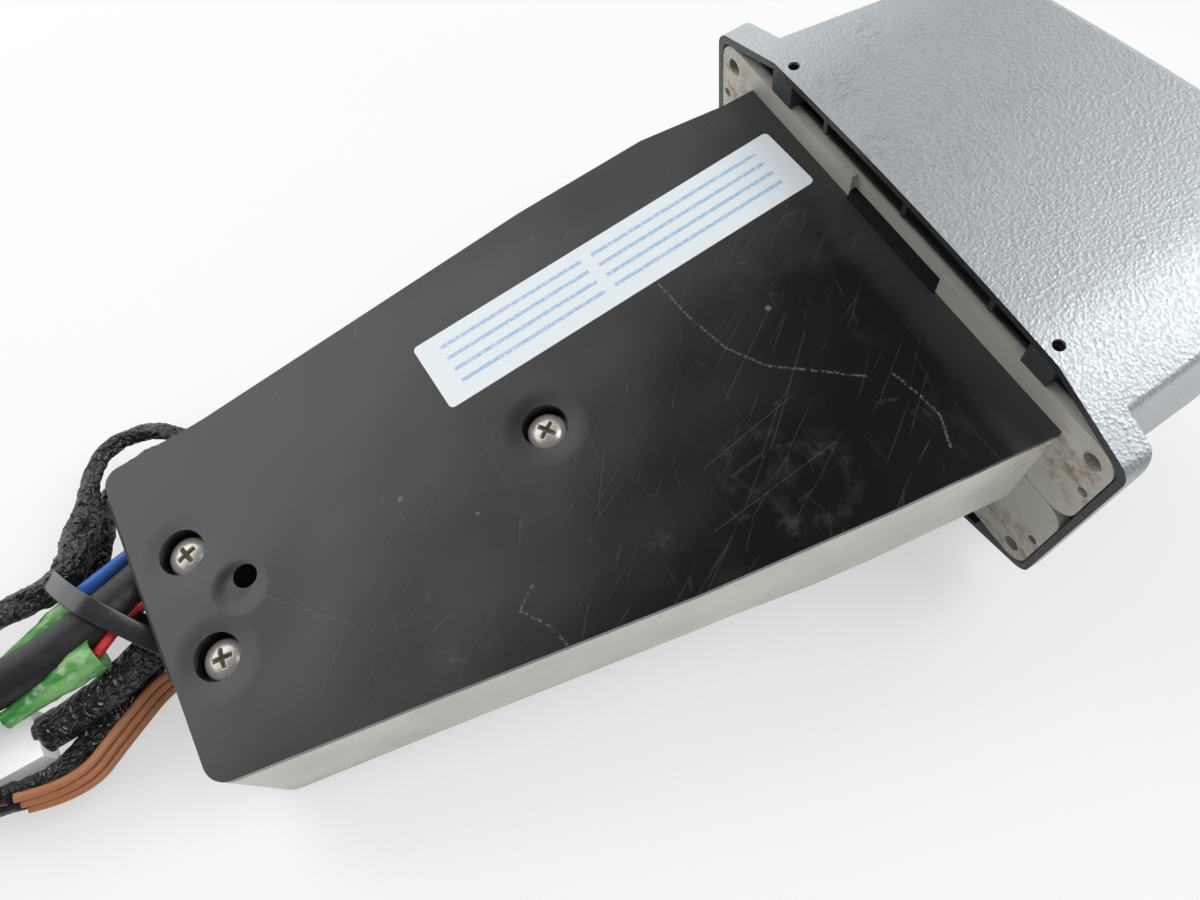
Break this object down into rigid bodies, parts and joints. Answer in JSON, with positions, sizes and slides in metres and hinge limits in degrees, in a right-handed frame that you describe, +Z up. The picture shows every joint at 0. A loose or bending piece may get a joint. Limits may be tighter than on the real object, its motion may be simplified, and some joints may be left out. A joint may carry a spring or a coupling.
{
  "type": "boat throttle control lever",
  "caption": "Top-mount boat control: one lever on a flanged, cast housing works the shift and throttle arms below the console.",
  "frame": {"origin": "middle of the four flange bolts, on the underside of the flange, the face that sits on the console", "axes": "+X aft (the picture's lower right end of the flange), -X forward; +Y to starboard, the lever's side, away from the picture's camera; +Z up, from the housing towards the top cover"},
  "size_m": [0.1751, 0.1289, 0.5219],
  "materials": {
    "cast_aluminium": "sand-cast, dull",
    "steel": "satin",
    "gear_steel": "greased",
    "black_plastic": "semi-gloss, scuffed",
    "label": "satin white",
    "grey_plastic": "pebble grain",
    "dark_plastic": "matte",
    "red_plastic": "matte",
    "bronze": "machined",
    "painted_lever": "satin",
    "grip_rubber": "soft touch",
    "loom_vinyl": "shiny wrinkled vinyl",
    "sleeve_rubber": "satin rubber",
    "blue_wire": "vinyl",
    "red_wire": "vinyl",
    "black_wire": "vinyl",
    "loom_tape": "wrapped vinyl tape",
    "brown_wire": "vinyl",
    "green_sleeve": "translucent vinyl",
    "white_plastic": "nylon",
    "tie_nylon": "nylon"
  },
  "bodies": {
    "control_housing": {"main_casting": "cast_aluminium", "flange_bracket": "cast_aluminium", "tie_bolts": "steel", "side_cover": "black_plastic", "cover_screws": "steel", "label_plate": "label", "top_cover": "grey_plastic", "fixing_blocks": "dark_plastic", "port_bush": "bronze", "starboard_bush": "bronze", "pivot_pins": "steel", "detent_plunger": "steel", "friction_pad": "dark_plastic", "neutral_switch": "dark_plastic", "cable_anchor": "cast_aluminium", "cable_clip": "steel", "main_loom": "loom_vinyl", "hank_loom": "loom_vinyl", "black_sleeve": "sleeve_rubber", "blue_lead": "blue_wire", "red_lead": "red_wire", "black_lead": "black_wire", "taped_loom": "loom_tape", "brown_lead_1": "brown_wire", "brown_lead_2": "brown_wire", "brown_lead_3": "brown_wire", "red_lead_sleeve": "green_sleeve", "black_lead_sleeve": "green_sleeve", "lead_tips": "black_wire", "white_plug": "white_plastic", "main_plug": "sleeve_rubber", "loom_grommets": "sleeve_rubber", "outlet_grommet": "sleeve_rubber", "cable_tie": "tie_nylon"},
    "lever": {"lever_shaft": "steel", "drive_gear": "gear_steel", "detent_disc": "gear_steel", "lever_casting": "painted_lever", "grip_front": "grip_rubber", "grip_rear": "grip_rubber", "grip_screws": "steel"},
    "shift_arm": {"shift_arm": "gear_steel"},
    "throttle_arm": {"throttle_arm": "gear_steel"},
    "friction_adjuster": {"friction_screw": "steel"},
    "neutral_switch_button": {"switch_plunger": "red_plastic"},
    "free_throttle_button": {"free_throttle_button": "dark_plastic"},
    "trim_rocker": {"trim_rocker": "dark_plastic"}
  },
  "joints": [
    {"name": "lever_swing", "type": "hinge", "parent": "control_housing", "child": "lever", "pos_m": [0.003, 0, 0.048], "axis": [0, -1, 0], "range_deg": [-65, 78]},
    {"name": "shift_arm_swing", "type": "hinge", "parent": "control_housing", "child": "shift_arm", "pos_m": [-0.018, 0, -0.00391], "axis": [0, -1, 0], "range_deg": [-44, 37]},
    {"name": "throttle_arm_swing", "type": "hinge", "parent": "control_housing", "child": "throttle_arm", "pos_m": [0.033, 0, 0.008], "axis": [0, -1, 0], "range_deg": [-53, 44]},
    {"name": "friction_screw_turn", "type": "hinge", "parent": "control_housing", "child": "friction_adjuster", "pos_m": [-0.03, -0.03, 0.048], "axis": [1, 0, 0], "range_deg": [-180, 180]},
    {"name": "switch_plunger_press", "type": "slide", "parent": "control_housing", "child": "neutral_switch_button", "axis": [0, 0, -1], "range_m": [0, 0.0012], "stiffness_N_per_m": 400, "springref_m": -0.001},
    {"name": "free_throttle_press", "type": "slide", "parent": "lever", "child": "free_throttle_button", "axis": [0, -1, 0], "range_m": [0, 0.004], "stiffness_N_per_m": 600, "springref_m": -0.002},
    {"name": "trim_rocker_tilt", "type": "hinge", "parent": "lever", "child": "trim_rocker", "pos_m": [0.003, -0.01625, 0.188], "axis": [1, 0, 0], "range_deg": [-7, 7], "stiffness_Nm_per_rad": 0.8}
  ],
  "couplings": [
    {"joint": "shift_arm_swing", "follows": "lever_swing", "ratio": -0.55556},
    {"joint": "throttle_arm_swing", "follows": "lever_swing", "ratio": -0.66667}
  ]
}
